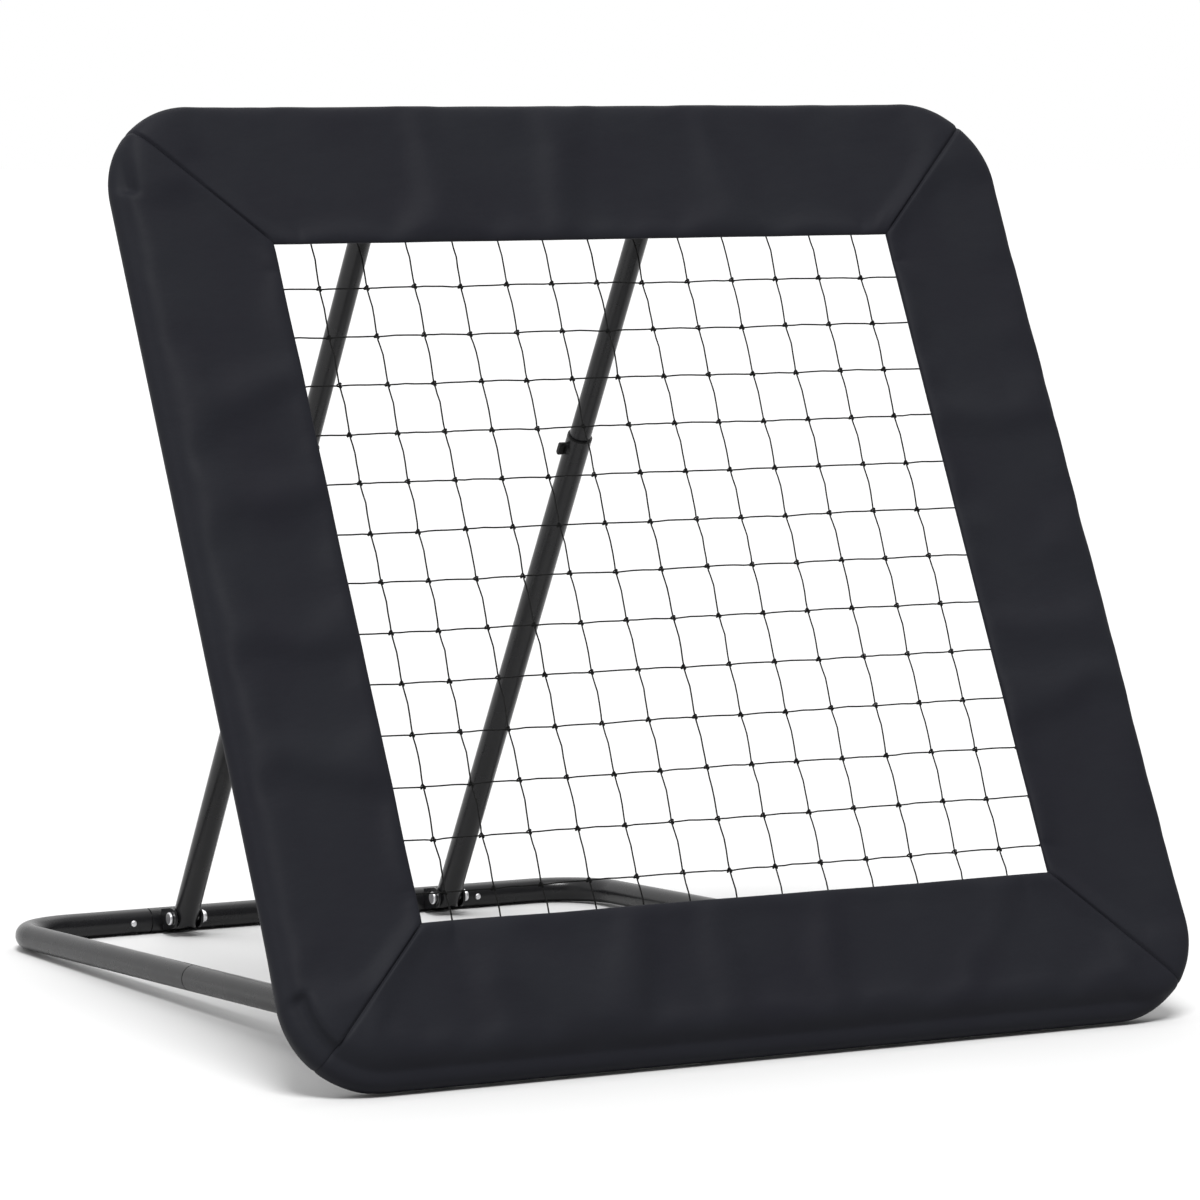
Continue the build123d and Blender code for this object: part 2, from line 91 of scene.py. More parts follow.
# ---------------------------------------------------------------- meshes
def new_piece(name, verts, faces, material):
    """A smooth-shaded mesh object made from points and faces, riding on the net frame."""
    mesh = bpy.data.meshes.new(name)
    mesh.from_pydata([tuple(v) for v in verts], [], faces)
    mesh.validate()
    mesh.polygons.foreach_set("use_smooth", [True] * len(mesh.polygons))
    mesh.materials.append(material)
    piece = bpy.data.objects.new(name, mesh)
    bpy.context.scene.collection.objects.link(piece)
    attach(piece, FRAME_BODY)
    return piece


class MeshParts:
    """Collects the points and faces of many small shapes that make one piece."""

    def __init__(self):
        self.verts = []
        self.faces = []

    def tube(self, points, radius, sides, closed=False):
        """Round cord along the points."""
        count = len(points)
        first = len(self.verts)
        normal = None
        for i, point in enumerate(points):
            if closed:
                heading = points[(i + 1) % count] - points[i - 1]
            else:
                heading = points[min(i + 1, count - 1)] - points[max(i - 1, 0)]
            heading.normalize()
            if normal is None:
                normal = heading.orthogonal().normalized()
            normal = (normal - heading * normal.dot(heading)).normalized()
            side = heading.cross(normal)
            for k in range(sides):
                angle = 2 * math.pi * k / sides
                spoke = normal * math.cos(angle) + side * math.sin(angle)
                self.verts.append(point + spoke * radius)
        rings = count if closed else count - 1
        for i in range(rings):
            a = first + i * sides
            b = first + (i + 1) % count * sides
            for k in range(sides):
                n = (k + 1) % sides
                self.faces.append((a + k, a + n, b + n, b + k))
        if not closed:
            self.faces.append(tuple(first + k for k in reversed(range(sides))))
            last = first + (count - 1) * sides
            self.faces.append(tuple(last + k for k in range(sides)))

    def piece(self, name, material, slot):
        """The collected shapes as one object."""
        return new_piece(name, self.verts, self.faces, material)


# ---------------------------------------------------------------- materials
class Shader:
    """A Principled material whose extra nodes are added one by one."""

    def __init__(self, name, colour, roughness, metallic=0.0, specular=0.5):
        self.material = bpy.data.materials.new(name)
        self.material.use_nodes = True
        self.tree = self.material.node_tree
        self.bsdf = self.tree.nodes["Principled BSDF"]
        self.bsdf.inputs["Base Color"].default_value = (*colour, 1)
        self.bsdf.inputs["Roughness"].default_value = roughness
        self.bsdf.inputs["Metallic"].default_value = metallic
        self.bsdf.inputs["Specular IOR Level"].default_value = specular

    def node(self, kind, settings=None, **inputs):
        """Add a node. An input is a value or another node's output socket."""
        added = self.tree.nodes.new(kind)
        for key, value in (settings or {}).items():
            setattr(added, key, value)
        for key, value in inputs.items():
            socket = added.inputs[key.replace("_", " ")]
            if isinstance(value, bpy.types.NodeSocket):
                self.tree.links.new(value, socket)
            else:
                socket.default_value = value
        return added

    def place(self, scale=(1, 1, 1), turn=(0, 0, 0)):
        """Object coordinates, turned and scaled."""
        coordinates = self.node("ShaderNodeTexCoord").outputs["Object"]
        return self.node(
            "ShaderNodeMapping", Vector=coordinates, Scale=scale, Rotation=turn
        ).outputs["Vector"]

    def noise(self, vector, scale, detail=2.0, roughness=0.5):
        """Noise texture's value."""
        return self.node(
            "ShaderNodeTexNoise", Vector=vector, Scale=scale, Detail=detail, Roughness=roughness
        ).outputs["Fac"]

    def wave(self, vector, scale, direction="X", distortion=0.0):
        """Wave texture's value, in bands across one direction."""
        return self.node(
            "ShaderNodeTexWave",
            {"bands_direction": direction},
            Vector=vector,
            Scale=scale,
            Distortion=distortion,
        ).outputs["Fac"]

    def maths(self, operation, a, b):
        """One arithmetic step between two sockets or numbers."""
        added = self.tree.nodes.new("ShaderNodeMath")
        added.operation = operation
        for socket, value in zip(added.inputs, (a, b)):
            if isinstance(value, bpy.types.NodeSocket):
                self.tree.links.new(value, socket)
            else:
                socket.default_value = value
        return added.outputs["Value"]

    def span(self, value, low, high):
        """A value from 0 to 1 spread between low and high."""
        return self.node(
            "ShaderNodeMapRange", Value=value, To_Min=low, To_Max=high
        ).outputs["Result"]

    def vary_colour(self, value, dark, light):
        """Base colour between two colours."""
        mix = self.tree.nodes.new("ShaderNodeMix")
        mix.data_type = "RGBA"
        self.tree.links.new(value, mix.inputs["Factor"])
        mix.inputs[6].default_value = (*dark, 1)
        mix.inputs[7].default_value = (*light, 1)
        self.tree.links.new(mix.outputs[2], self.bsdf.inputs["Base Color"])

    def vary_roughness(self, value, low, high):
        """Roughness between two values."""
        self.tree.links.new(self.span(value, low, high), self.bsdf.inputs["Roughness"])

    def bump(self, height, distance, strength=1.0, under=None):
        """Add a bump of that height in metres, over another bump if there is one."""
        inputs = {"Height": height, "Distance": distance, "Strength": strength}
        if under is not None:
            inputs["Normal"] = under
        added = self.node("ShaderNodeBump", **inputs)
        self.tree.links.new(added.outputs["Normal"], self.bsdf.inputs["Normal"])
        return added.outputs["Normal"]


def cover_material():
    """Coated polyester: fine weave, soft creases, slightly uneven sheen."""
    shader = Shader("cover_vinyl", (0.011, 0.011, 0.014), 0.6, specular=0.07)
    flat = shader.place(turn=(LEAN, 0, 0))
    broad = shader.noise(flat, 9, detail=3)
    shader.vary_colour(broad, (0.0098, 0.0094, 0.0135), (0.0140, 0.0152, 0.0185))
    shader.vary_roughness(shader.noise(flat, 22, detail=4), 0.50, 0.68)
    crease = shader.noise(shader.place((14, 20, 26), (LEAN, 0.4, 0.2)), 1, detail=5, roughness=0.62)
    creased = shader.bump(crease, 0.0016, 0.7)
    weft = shader.wave(flat, 420, "X")
    warp = shader.wave(flat, 420, "Z")
    shader.bump(shader.maths("MULTIPLY", weft, warp), 0.00006, 0.5, under=creased)
    return shader.material


def paint_material():
    """Satin black powder coat with a fine orange peel."""
    shader = Shader("black_powder_coat", (0.008, 0.008, 0.009), 0.28, specular=0.32)
    point = shader.place()
    shader.vary_colour(shader.noise(point, 60, 3), (0.006, 0.006, 0.007), (0.011, 0.011, 0.012))
    shader.vary_roughness(shader.noise(point, 35, 4), 0.22, 0.34)
    shader.bump(shader.noise(point, 900, 2), 0.00008, 0.25)
    return shader.material


def zinc_material():
    """Bright zinc with faint turning marks and dull patches."""
    shader = Shader("zinc_fasteners", (0.68, 0.68, 0.70), 0.25, metallic=1.0)
    point = shader.place()
    shader.vary_colour(shader.noise(point, 300, 3), (0.74, 0.74, 0.76), (0.92, 0.92, 0.94))
    shader.vary_roughness(shader.noise(point, 220, 4), 0.30, 0.48)
    shader.bump(shader.wave(point, 700, "X", distortion=2), 0.00003, 0.2)
    return shader.material


def spring_material():
    """Plain spring steel strip."""
    shader = Shader("spring_steel", (0.30, 0.30, 0.31), 0.35, metallic=1.0)
    shader.vary_roughness(shader.noise(shader.place((1, 1, 12)), 120, 3), 0.28, 0.45)
    return shader.material


def plastic_material():
    """Moulded black nylon with a fine grain."""
    shader = Shader("black_plastic", (0.003, 0.003, 0.003), 0.45, specular=0.15)
    point = shader.place()
    shader.vary_roughness(shader.noise(point, 180, 3), 0.36, 0.52)
    shader.bump(shader.noise(point, 1600, 2), 0.00006, 0.3)
    return shader.material


def twine_material(name, colour, pitch):
    """Twisted black cord: slanted plies and loose fibres."""
    shader = Shader(name, colour, 0.7, specular=0.12)
    light = tuple(c * 1.9 for c in colour)
    slanted = shader.place(turn=(0.6, 0.5, 0.7))
    shader.vary_colour(shader.noise(slanted, 300, 3), colour, light)
    plies = shader.bump(shader.wave(slanted, pitch, "X", distortion=0.5), 0.0003, 0.6)
    shader.bump(shader.noise(slanted, 2500, 3), 0.00008, 0.4, under=plies)
    return shader.material


def foam_material():
    """Closed-cell foam."""
    shader = Shader("pad_foam", (0.30, 0.30, 0.31), 0.85, specular=0.2)
    shader.bump(shader.noise(shader.place(), 700, 3), 0.0003, 0.5)
    return shader.material


COVER = cover_material()
PAINT = paint_material()
ZINC = zinc_material()
SPRING = spring_material()
PLASTIC = plastic_material()
TWINE = twine_material("net_twine", (0.005, 0.005, 0.005), 900)
ELASTIC = twine_material("elastic_cord", (0.012, 0.012, 0.012), 600)
FOAM = foam_material()

BY_SLOT = {
    "cover_vinyl": COVER,
    "black_powder_coat": PAINT,
    "zinc_fasteners": ZINC,
    "spring_steel": SPRING,
    "black_plastic": PLASTIC,
    "net_twine": TWINE,
    "elastic_cord": ELASTIC,
    "pad_foam": FOAM,
}


def finish_cad_nodes():
    """Give every CAD node its slot's material. Their meshes stay as they are."""
    for subpart in frame["record"]["subparts"]:
        node = frame["nodes"][subpart["node"]]
        node.data.materials.clear()
        node.data.materials.append(BY_SLOT[subpart["material_slot"]])


finish_cad_nodes()


# ---------------------------------------------------------------- padded cover
# Cross-section of a panel, as (inset from the outline, depth behind the front) in millimetres.
# It runs from the opening's hem over the front, round the fold and the roll, and back inside.
HEM_PROFILE = [
    (146.0, 7.0), (147.0, 4.2), (145.5, 1.6), (138, 0.5), (110, 0), (75, 0),
]
FOLDED_PROFILE = [
    (41, 0.4), (32, 1.8), (25.6, 4.6), (20.8, 8.8), (17.0, 12.4), (14.6, 14.3), (11.6, 14.6),
    (5.6, 16.0), (1.6, 20.4),
]
ROUNDED_PROFILE = [
    (44, 0.0), (28, 0.2), (16, 1.0), (9, 2.8), (5, 5.4), (2.8, 8.6), (1.4, 12.4), (0.6, 16.5),
    (0.3, 20.5),
]
ROLL_PROFILE = [
    (0.5, 25.0), (2.4, 31.0), (7.5, 38.6), (15.5, 44.4), (27, 47.6), (40, 48.4), (50, 48.0), (52, 46.8),
]
LOWER_ROLL_PROFILE = [
    (0.4, 25.0), (0.6, 32.0), (3.6, 42.0), (11.5, 48.6), (24, 50.6), (38, 51.0), (50, 50.4), (52, 49.0),
]
INSIDE_PROFILE = [
    (49, 46.0), (40, 46.6), (28, 45.8), (17, 42.6), (9.4, 37.4), (5.4, 30), (7.0, 21), (14, 17.0),
    (19, 14.6), (34, 12.4), (75, 12), (115, 11), (138, 9.2),
]
ROW_STEP = 0.0072          # spacing of the mesh across the panel
HALF_COLUMNS = 62          # columns of the mesh along half a panel, before its seam
STRAIGHT_SHARE = 0.62      # part of that half where the columns stand square to the edge
SEAM_GAP = 0.0002          # from a panel's end to the mitre
SEAM_COLUMNS = (0.008, 0.0052, 0.0032, 0.0018, 0.0008, 0.0002, 0)  # columns' distances from the seam
SEAM_REACH = 0.0017        # width of the pinched strip beside a mitre seam
SEAM_DEPTH = 0.0022        # how far the surface pulls in there
SEAM_ON_ROLL = 0.25        # share of that depth on the roll around the tube
HEM_INSET = 0.138          # the seam doesn't pull in beyond here, where the hem is turned over
WRINKLE_CAP = 0.0042       # furthest that the cloth may move on the front
ROLL_CAP = 0.0003          # and on the roll around the tube
FRONT_DEPTH = 0.0015       # the front's rounded edge starts here
ROLL_DEPTH = 0.010         # and the roll here
FOLD_INSET = 0.020         # the fold between the front and the roll lies about here
# How much of the fold each edge has: 0 is rounded over, 1 is folded in.
FOLD_SHARES = {"top": 0.0, "left": 0.5, "bottom": 1.0, "right": 0.0}
CORNER_FOLD = 0.060        # length from the mitre where the front's edge overlaps the roll
CORNER_FOLD_SHARE = 1.05   # and how much of the fold it has there
CORNER_FOLD_BLEND = 0.005  # length over which that overlap starts
CORNER_FOLD_INSETS = (0.009, 0.018)   # the overlap is full within the first, gone beyond the second
LOWER_ROLL_REACH = 0.150   # the sides' roll fills out to the lower one within this length
SEAM_FOLD_REACH = 0.060    # a fold that ends at a corner fades within this length from the mitre
STILL_REACH = 0.030        # and the wrinkles within this one
HELD_ROWS = 2              # rows that are held at either end of the shown cloth
HELD_REACH = 0.004         # and the length that is held beside a seam
ROLL_HOLD = 0.8            # how firmly the roll holds the cloth, where 1 is fixed
FRONT_EDGE_HOLD = 0.3      # and the front's rounded edge
FLOOR_GAP = 0.0006         # the cover stays this far above the floor
CREASED = 1.0              # full crease in Blender's units
CLOTH_FRAMES = 24
CLOTH_SETTINGS = {
    "quality": 5,
    "mass": 0.12,
    "tension_stiffness": 22,
    "compression_stiffness": 22,
    "shear_stiffness": 12,
    "bending_stiffness": 14,
    "air_damping": 4,
    "shrink_min": -0.014,      # the cloth is this share larger than the pad
    "pin_stiffness": 1,
    "use_pressure": True,
    "uniform_pressure_force": 0.25,
}
CLOTH_GRAVITY = 0.2        # share of gravity that the held-up cloth feels
SOFTEN_ROUNDS = 3


def smooth_section(points, spacing_of, step, shown):
    """Points along a closed Catmull-Rom curve through the given points.

    Their number on each stretch is the one that puts them a step apart on the second curve, so
    that two sections match row by row. Returns them, and how many lie on the shown part.
    """
    count = len(points)
    loop = []
    shown_rows = 0
    for i in range(count):
        if i == shown:
            shown_rows = len(loop)
        p0, p1, p2, p3 = (Vector(points[(i + k - 1) % count]) for k in range(4))
        stretch = Vector(spacing_of[(i + 1) % count]) - Vector(spacing_of[i])
        pieces = max(1, round(stretch.length / step))
        for k in range(pieces):
            t = k / pieces
            loop.append(
                0.5 * (2 * p1 + (p2 - p0) * t + (2 * p0 - 5 * p1 + 4 * p2 - p3) * t**2
                       + (3 * p1 - p0 - 3 * p2 + p3) * t**3)
            )
    return loop, shown_rows


def along_edge(inset, share, from_seam):
    """Point (along, outward) on half a side of the rounded square at an inset.

    The share, from 0 to 1, counts up to the seam's own columns, which have a fixed distance from it.
    """
    radius = max(CORNER_RADIUS - inset, 0.0004)
    straight = OUTER / 2 - inset - radius
    length = straight + radius * math.pi / 4 - SEAM_GAP - SEAM_COLUMNS[0]
    square_end = (OUTER / 2 - BORDER) * 0.9
    if share < STRAIGHT_SHARE:
        run = square_end * share / STRAIGHT_SHARE
    else:
        run = square_end + (length - square_end) * (share - STRAIGHT_SHARE) / (1 - STRAIGHT_SHARE)
    to_seam = length - run + from_seam
    run += SEAM_COLUMNS[0] - from_seam
    if run <= straight:
        return run, straight + radius, to_seam
    angle = (run - straight) / radius
    return straight + radius * math.sin(angle), straight + radius * math.cos(angle), to_seam


def smooth_step(value, low, high):
    """0 below low, 1 above high, and a smooth rise between."""
    t = min(max((value - low) / (high - low), 0), 1)
    return t * t * (3 - 2 * t)


def fold_share(turn, way, to_mitre, inset):
    """How deep the fold between the front and the roll is, at a place on the panel."""
    edge = EDGES[turn]
    share = FOLD_SHARES[edge]
    if edge == "left":
        near_mitre = smooth_step(CORNER_FOLD - to_mitre, 0, CORNER_FOLD_BLEND)
        overlap = near_mitre * (1 - smooth_step(inset, *CORNER_FOLD_INSETS))
        share += (CORNER_FOLD_SHARE - share) * overlap
    fades_out = (("left", 1), ("bottom", -1))
    if (edge, way) in fades_out:
        share *= smooth_step(to_mitre, 0, SEAM_FOLD_REACH)
    return share


def lower_roll_share(turn, way, to_mitre):
    """How far the roll is the lower edge's full one, which rests on the floor."""
    edge = EDGES[turn]
    if edge == "bottom":
        return 1.0
    if (edge, way) in (("left", -1), ("right", 1)):
        return 1 - smooth_step(to_mitre, 0, LOWER_ROLL_REACH)
    return 0.0


def panel_grid(turn):
    """Columns of a panel's surface: each point, its distance from the seam, inset and depth."""
    folded, rounded, lower = (
        [(inset / 1000, depth / 1000) for inset, depth in HEM_PROFILE + edge + roll + INSIDE_PROFILE]
        for edge, roll in (
            (FOLDED_PROFILE, ROLL_PROFILE),
            (ROUNDED_PROFILE, ROLL_PROFILE),
            (ROUNDED_PROFILE, LOWER_ROLL_PROFILE),
        )
    )
    shown = len(folded) - len(INSIDE_PROFILE)
    sections = [smooth_section(points, folded, ROW_STEP, shown) for points in (folded, rounded, lower)]
    shown_rows = sections[0][1]
    stations = [(k / HALF_COLUMNS, SEAM_COLUMNS[0]) for k in range(HALF_COLUMNS)]
    stations += [(1, distance) for distance in SEAM_COLUMNS]
    sides = [(-1, s) for s in reversed(stations[1:])] + [(1, s) for s in stations]
    grid = []
    for way, (share, from_seam) in sides:
        column = []
        to_mitre = along_edge(FOLD_INSET, share, from_seam)[2]
        low = lower_roll_share(turn, way, to_mitre)
        for fold_place, round_place, low_place in zip(*(loop for loop, _ in sections)):
            fold = fold_share(turn, way, to_mitre, round_place.x)
            inset, depth = (
                round_place + (fold_place - round_place) * fold + (low_place - round_place) * low
            )
            along, outward, to_seam = along_edge(inset, share, from_seam)
            column.append((on_edge(turn, way * along, outward, depth), to_seam, inset, depth))
        grid.append(column)
    return grid, shown_rows


def grid_faces(columns, rows, closed):
    """Quads between the columns of a grid, which may be closed across."""
    faces = []
    for c in range(columns - 1):
        for r in range(rows if closed else rows - 1):
            n = (r + 1) % rows
            faces.append((c * rows + r, (c + 1) * rows + r, (c + 1) * rows + n, c * rows + n))
    return faces


def hold_weight(to_seam, inset, depth, row, rows):
    """How firmly the cloth is held at a point: 1 at its seams and hems, 0 where it is free."""
    if row < HELD_ROWS or row >= rows - HELD_ROWS or to_seam < HELD_REACH:
        return 1.0
    if depth > ROLL_DEPTH:
        return ROLL_HOLD
    return FRONT_EDGE_HOLD if depth > FRONT_DEPTH and inset < BORDER / 2 else 0.0


def settle_cloth(columns):
    """Slightly oversized cloth between its seams, left to buckle: the points it comes to."""
    rows = len(columns[0])
    cells = [cell for column in columns for cell in column]
    points = [cell[0] for cell in cells]
    faces = grid_faces(len(columns), rows, closed=False)
    held = [hold_weight(*cell[1:], i % rows, rows) for i, cell in enumerate(cells)]
    mesh = bpy.data.meshes.new("cloth")
    mesh.from_pydata([tuple(p) for p in points], [], faces)
    cloth = bpy.data.objects.new("cloth", mesh)
    bpy.context.scene.collection.objects.link(cloth)
    pins = cloth.vertex_groups.new(name="held")
    for weight in sorted(set(held)):
        chosen = [i for i, h in enumerate(held) if h == weight]
        if weight > 0:
            pins.add(chosen, weight, "REPLACE")
    modifier = cloth.modifiers.new("Cloth", "CLOTH")
    settings = modifier.settings
    for name, value in CLOTH_SETTINGS.items():
        setattr(settings, name, value)
    settings.vertex_group_mass = "held"
    settings.effector_weights.gravity = CLOTH_GRAVITY
    modifier.collision_settings.use_collision = False
    scene = bpy.context.scene
    scene.frame_start, scene.frame_end = 1, CLOTH_FRAMES
    modifier.point_cache.frame_start, modifier.point_cache.frame_end = 1, CLOTH_FRAMES
    for step in range(1, CLOTH_FRAMES + 1):
        scene.frame_set(step)
    settled = cloth.evaluated_get(bpy.context.evaluated_depsgraph_get())
    moved = [v.co.copy() for v in settled.data.vertices]
    scene.frame_set(1)
    bpy.data.objects.remove(cloth)
    bpy.data.meshes.remove(mesh)
    return moved


def normals_of(points, columns, rows):
    """Outward normal at each point of a panel's grid."""
    grid = np.array([tuple(p) for p in points]).reshape(columns, rows, 3)
    along = np.gradient(grid, axis=0)
    across = np.roll(grid, -1, axis=1) - np.roll(grid, 1, axis=1)
    normals = np.cross(along, across)
    normals /= np.linalg.norm(normals, axis=2, keepdims=True)
    return [Vector(n) for n in normals.reshape(-1, 3)]


def wrinkle_cap(to_seam, inset, depth):
    """Furthest that the cloth may move at a point of the section."""
    cap = WRINKLE_CAP * smooth_step(to_seam, 0, STILL_REACH)
    if inset > BORDER / 2:
        return cap
    towards_roll = min(max((depth - FRONT_DEPTH) / (ROLL_DEPTH - FRONT_DEPTH), 0), 1)
    return cap + (min(ROLL_CAP, cap) - cap) * math.sqrt(towards_roll)


def soften(shifts, columns, rows):
    """The cloth's shifts, averaged with their neighbours' so that no crease is sharper than cloth."""
    grid = np.array([tuple(s) for s in shifts]).reshape(columns, rows, 3)
    for _ in range(SOFTEN_ROUNDS):
        inner = grid[1:-1, 1:-1]
        around = grid[:-2, 1:-1] + grid[2:, 1:-1] + grid[1:-1, :-2] + grid[1:-1, 2:]
        grid[1:-1, 1:-1] = inner / 2 + around / 8
    return [Vector(s) for s in grid.reshape(-1, 3)]


def seam_sink(to_seam, inset, depth):
    """How far the surface pulls in beside a mitre's seam."""
    if inset > HEM_INSET:
        return 0.0
    towards_roll = min(max((depth - FRONT_DEPTH) / (ROLL_DEPTH - FRONT_DEPTH), 0), 1)
    share = 1 + (SEAM_ON_ROLL - 1) * towards_roll
    return SEAM_DEPTH * share * math.exp(-((max(to_seam, 0) / SEAM_REACH) ** 2))


def build_panel(turn):
    """One padded panel: a section along its edge, buckled as cloth and pinched at the seams."""
    grid, shown_rows = panel_grid(turn)
    columns, rows = len(grid), len(grid[0])
    points = [cell[0] for column in grid for cell in column]
    settled = list(points)
    moved = settle_cloth([column[:shown_rows] for column in grid])
    for c in range(columns):
        settled[c * rows:c * rows + shown_rows] = moved[c * shown_rows:(c + 1) * shown_rows]
    verts = []
    normals = normals_of(points, columns, rows)
    cells = [cell for column in grid for cell in column]
    shifts = soften([moved - point for moved, point in zip(settled, points)], columns, rows)
    for (point, to_seam, inset, depth), normal, shift in zip(cells, normals, shifts):
        cap = wrinkle_cap(to_seam, inset, depth)
        if shift.length > 0 and cap > 0:
            shift = shift * (cap * math.tanh(shift.length / cap) / shift.length)
        else:
            shift = Vector((0, 0, 0))
        placed = point + shift - normal * seam_sink(to_seam, inset, depth)
        placed.z = max(placed.z, FLOOR_GAP)
        verts.append(placed)
    faces = grid_faces(columns, rows, closed=True)
    ends = [tuple(range(rows)), tuple(reversed(range((columns - 1) * rows, columns * rows)))]
    piece = new_piece(f"padded_cover_{EDGES[turn]}", verts, faces + ends, COVER)
    keep_sharp(piece, [set(range(rows)), set(range((columns - 1) * rows, columns * rows))])
    subdivide(piece, 1)
    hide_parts(f"pad_cover_{EDGES[turn]}", f"pad_foam_{EDGES[turn]}")


def keep_sharp(piece, loops):
    """Crease the edges of the given loops of points, so that subdivision leaves them in place."""
    creases = piece.data.attributes.new("crease_edge", "FLOAT", "EDGE")
    for edge in piece.data.edges:
        on_loop = any(set(edge.vertices) <= loop for loop in loops)
        creases.data[edge.index].value = CREASED if on_loop else 0.0


def subdivide(piece, levels):
    """Smooth a piece with subdivision."""
    modifier = piece.modifiers.new("Subdivision", "SUBSURF")
    modifier.levels = levels
    modifier.render_levels = levels


for edge_turn in range(len(EDGES)):
    build_panel(edge_turn)


# ---------------------------------------------------------------- net
TWINE_R = 0.0008
KNOT_R = 0.0021
KNOT_FLAT = 0.9            # a knot's length and thickness, as shares of its width
KNOT_TWINE = 0.95          # thickness of the twine in a knot, as a share of the twine's
KNOT_WANDER = (0.0006, 0.0006, 0.0008)   # a knot may lie this far from its place in each direction
NET_SAG = 0.00782          # growth of the lower rows' sag over half the net's height
SAG_START = 0.25           # share of that half where the sag starts
NET_RISE = 0.0016          # the mesh sits this much above the net's middle
NET_SLIP = -0.0024         # and this much to one side of its CAD place
NET_SLANT = 0.0124         # and its verticals lean by this share of their height
ROW_BULGE = 0.0006         # how far the twine bulges between knots across the net
COLUMN_BULGE = 0.0017      # and down it
BULGE_SPREAD = (0.6, 1.2)  # least and most share of the bulge
KINK = 0.00035             # furthest that its small kinks go
KINK_DEPTH = 0.6           # share of a kink that also goes backwards or forwards
KNOT_HEADING = 0.785       # a knot's loop points this far up from across, in radians
KNOT_TURN = 0.5            # a knot may be turned by this angle, in radians
HITCH_TURNS = 2
HITCH_LENGTH = 2.2         # length of a hitch along the rope, in radii of the twine
NET_SEED = 7
SIDEWAYS, UPWARDS, BACKWARDS = 0, 1, 2   # the order of the numbers in a place on the net
# Share of the way from one knot to the next, and how far the twine bulges there.
BULGE_SHAPE = ((0, 0), (0.08, 0.15), (0.2, 0.5), (0.38, 1.0), (0.6, 0.7), (0.82, 0.3), (0.94, 0.05))


def knot_place(column, row, wander):
    """A knot's place on the net: across, up the slope, and behind the pad's front."""
    x = (column - (MESH_COUNT - 1) / 2) * MESH_PITCH + MESH_SHIFT
    v = (row - (MESH_COUNT - 1) / 2) * MESH_PITCH
    drop = max(0, -v / NET_HALF - SAG_START)
    dx, dv, dd = wander[column][row]
    x += NET_SLIP + NET_SLANT * v + dx
    return x, v + NET_RISE + dv - NET_SAG * drop, TUBE_DEPTH + dd


def make_net():
    """Knotted twine net: wavy strands both ways, a knot at each crossing, ends round the rope."""
    draw = random.Random(NET_SEED)
    wander = [
        [tuple(draw.uniform(-k, k) for k in KNOT_WANDER) for _ in range(MESH_COUNT)]
        for _ in range(MESH_COUNT)
    ]
    places = [[knot_place(c, r, wander) for r in range(MESH_COUNT)] for c in range(MESH_COUNT)]
    net = MeshParts()
    reach = NET_HALF + ROPE / 2
    for line in range(MESH_COUNT):
        across = [places[c][line] for c in range(MESH_COUNT)]
        ends = [(-reach, across[0][1], TUBE_DEPTH), (reach, across[-1][1], TUBE_DEPTH)]
        strand = strand_points([ends[0]] + across + [ends[1]], UPWARDS, ROW_BULGE, draw)
        net.tube(strand, TWINE_R, sides=6)
        downwards = places[line][::-1]
        ends = [(downwards[0][0], reach, TUBE_DEPTH), (downwards[-1][0], -reach, TUBE_DEPTH)]
        strand = strand_points([ends[0]] + downwards + [ends[1]], SIDEWAYS, COLUMN_BULGE, draw)
        net.tube(strand, TWINE_R, sides=6)
    for c in range(MESH_COUNT):
        for r in range(MESH_COUNT):
            add_knot(net, places[c][r], draw.uniform(-KNOT_TURN, KNOT_TURN))
    for line in range(MESH_COUNT):
        for end in (-1, 1):
            add_hitch(net, places[line][0 if end < 0 else -1][0], end, upright=True)
            add_hitch(net, places[0 if end < 0 else -1][line][1], end, upright=False)
    piece = net.piece("net_twine_mesh", TWINE, "net_twine")
    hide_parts("net")


def strand_points(places, side, bulge, draw):
    """A twine through its knots. Between two it bulges to one side and kinks a little."""
    points = []
    for here, there in zip(places, places[1:]):
        bend = bulge * draw.uniform(*BULGE_SPREAD)
        kinks = [draw.uniform(-KINK, KINK) for _ in BULGE_SHAPE]
        for (share, lift), kink in zip(BULGE_SHAPE, kinks):
            spot = [a + (b - a) * share for a, b in zip(here, there)]
            spot[side] += bend * lift + kink
            spot[BACKWARDS] += KINK_DEPTH * kink
            points.append(on_frame(*spot))
    points.append(on_frame(*places[-1]))
    return points


def add_knot(net, place, tilt):
    """A small two-turn knot around the crossing of two twines."""
    centre = on_frame(*place)
    heading = KNOT_HEADING + tilt
    along = (ACROSS * math.cos(heading) + UP_SLOPE * math.sin(heading)).normalized()
    over = OUT.cross(along)
    steps = 20
    turns = []
    for k in range(steps):
        angle = 2 * math.pi * k / steps
        turns.append(
            centre
            + along * (KNOT_R * KNOT_FLAT * math.sin(2 * angle))
            + over * (KNOT_R * math.sin(angle))
            + OUT * (KNOT_R * KNOT_FLAT * math.cos(angle))
        )
    net.tube(turns, TWINE_R * KNOT_TWINE, sides=5, closed=True)


def add_hitch(net, at, end, upright):
    """The twine's end wound round the border rope."""
    reach = end * (NET_HALF + ROPE / 2)
    steps = 25
    turns = []
    for k in range(steps + 1):
        angle = 2 * math.pi * HITCH_TURNS * k / steps
        outward = reach + (ROPE / 2 + TWINE_R) * math.cos(angle)
        depth = TUBE_DEPTH + (ROPE / 2 + TWINE_R) * math.sin(angle)
        slide = at + TWINE_R * HITCH_LENGTH * (k / steps - 0.5)
        turns.append(on_frame(slide, outward, depth) if upright else on_frame(outward, slide, depth))
    net.tube(turns, TWINE_R, sides=5)


make_net()


